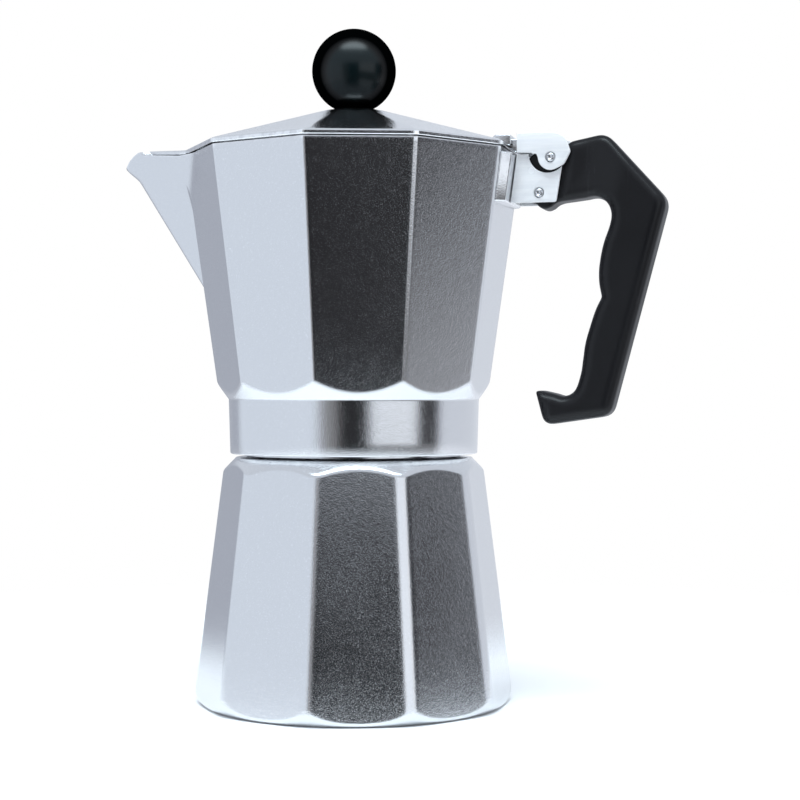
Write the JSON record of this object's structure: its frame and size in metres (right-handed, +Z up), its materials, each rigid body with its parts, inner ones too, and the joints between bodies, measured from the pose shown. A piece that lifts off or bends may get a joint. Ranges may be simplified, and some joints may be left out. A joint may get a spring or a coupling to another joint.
{
  "type": "moka pot",
  "caption": "Stovetop moka pot: ten-sided cast boiler and collector, spouted jug, hinged lid with ball knob, hooked handle, funnel, gasket, filter and safety valve.",
  "frame": {"origin": "centre of the boiler's flat bottom, on the surface that the pot stands on", "axes": "+Z up the pot's axis, +X towards the handle, -X towards the spout; the lid's hinge pin lies along Y"},
  "size_m": [0.1783, 0.1088, 0.215],
  "materials": {
    "cast_aluminium": "polished, with a fine cast speckle",
    "spun_aluminium": "spun satin",
    "bright_sheet_steel": "bright stamped sheet",
    "pin_steel": "turned",
    "valve_brass": "machined",
    "valve_fibre": "pressed fibre",
    "gasket_rubber": "matte silicone",
    "knob_plastic": "high gloss",
    "handle_plastic": "satin moulded"
  },
  "bodies": {
    "boiler": {"boiler_body": "cast_aluminium", "valve_body": "valve_brass", "valve_washer": "valve_fibre", "valve_nut": "valve_brass", "valve_cap": "valve_brass"},
    "valve_plunger": {"valve_pin": "pin_steel", "valve_spring": "pin_steel"},
    "funnel": {"funnel_basket": "spun_aluminium", "funnel_strainer": "spun_aluminium"},
    "seal": {"gasket": "gasket_rubber", "filter_plate": "spun_aluminium"},
    "column": {"coffee_column": "cast_aluminium"},
    "collector": {"collector_body": "cast_aluminium", "handle_bracket": "bright_sheet_steel", "bracket_rivet_upper": "pin_steel", "bracket_rivet_lower": "pin_steel", "handle_rivet": "pin_steel", "hinge_pin": "pin_steel", "handle_grip": "handle_plastic"},
    "lid": {"lid_shell": "cast_aluminium", "lid_hinge_plate": "bright_sheet_steel", "hinge_rivet_near": "pin_steel", "hinge_rivet_far": "pin_steel", "lid_knob": "knob_plastic", "knob_screw": "pin_steel", "knob_washer": "pin_steel"}
  },
  "joints": [
    {"name": "valve_pin_slide", "type": "slide", "parent": "boiler", "child": "valve_plunger", "axis": [-0.309, 0.9511, 0], "range_m": [0, 0.0012], "stiffness_N_per_m": 600, "springref_m": -0.002},
    {"name": "funnel_lift", "type": "slide", "parent": "boiler", "child": "funnel", "axis": [0, 0, 1], "range_m": [0, 0.09]},
    {"name": "top_lift", "type": "slide", "parent": "funnel", "child": "seal", "axis": [0, 0, 1], "range_m": [0, 0.06]},
    {"name": "thread_rise", "type": "slide", "parent": "seal", "child": "column", "axis": [0, 0, 1], "range_m": [0, 0.0081]},
    {"name": "collector_unscrew", "type": "hinge", "parent": "column", "child": "collector", "pos_m": [0, 0, 0.1], "axis": [0, 0, 1], "range_deg": [0, 900]},
    {"name": "lid_hinge", "type": "hinge", "parent": "collector", "child": "lid", "pos_m": [0.0648, 0, 0.1709], "axis": [0, 1, 0], "range_deg": [0, 95]}
  ],
  "couplings": [
    {"joint": "thread_rise", "follows": "collector_unscrew", "m_per_rad": 0.0005093}
  ]
}
